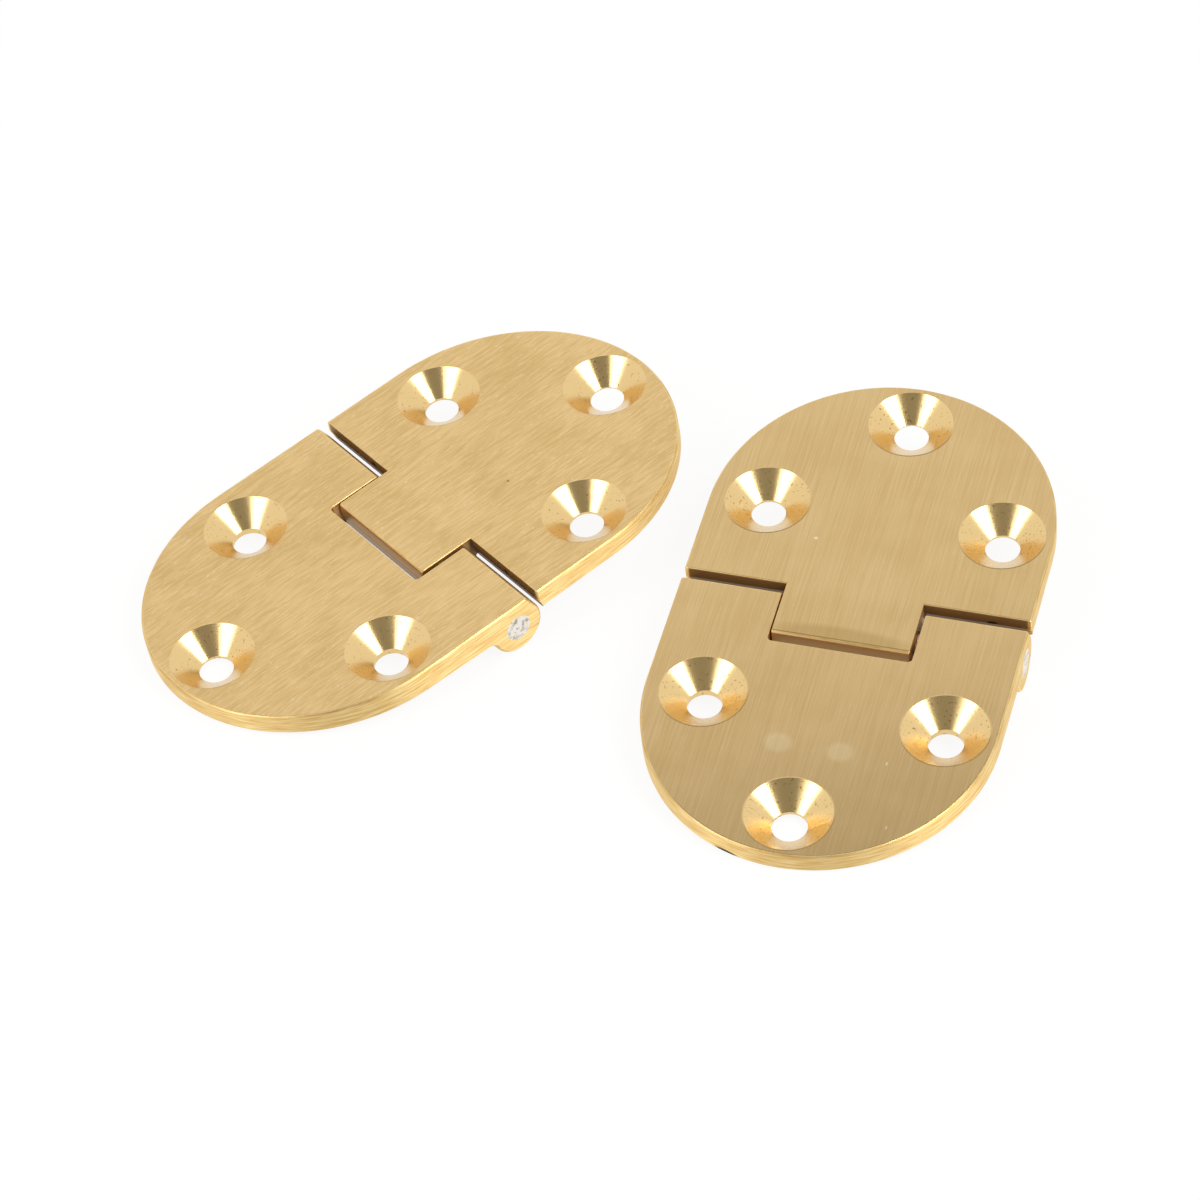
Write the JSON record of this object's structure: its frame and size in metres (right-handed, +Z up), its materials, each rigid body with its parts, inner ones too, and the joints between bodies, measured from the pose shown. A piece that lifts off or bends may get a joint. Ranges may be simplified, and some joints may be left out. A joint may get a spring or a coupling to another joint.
{
  "type": "pair of round tray hinges",
  "caption": "Pair of solid brass round-ended tray hinges, lying open, each with a slotted fork leaf, a tongue leaf and a steel pin, countersunk for wood screws.",
  "frame": {"origin": "middle of the pair's footprint, on the surface that it lies on", "axes": "+Z up out of the countersunk faces (the leaves lean 7 degrees from it, as they rest), +X to the right and +Y away as the picture shows the pair"},
  "size_m": [0.1048, 0.0832, 0.0108],
  "materials": {
    "left_brass": "brushed",
    "right_brass": "satin brushed",
    "pin_steel": "peened ends"
  },
  "bodies": {
    "fork_leaves": {"left_fork_leaf": "left_brass", "left_pin": "pin_steel", "right_fork_leaf": "right_brass", "right_pin": "pin_steel"},
    "left_tongue": {"left_tongue_leaf": "left_brass"},
    "right_tongue": {"right_tongue_leaf": "right_brass"}
  },
  "joints": [
    {"name": "left_hinge", "type": "hinge", "parent": "fork_leaves", "child": "left_tongue", "pos_m": [-0.02123, 0.01296, 0.00331], "axis": [0.5906, -0.807, 0], "range_deg": [-180, 90]},
    {"name": "right_hinge", "type": "hinge", "parent": "fork_leaves", "child": "right_tongue", "pos_m": [0.02777, -0.00834, 0.00331], "axis": [0.9458, -0.3247, 0], "range_deg": [-180, 90]}
  ]
}
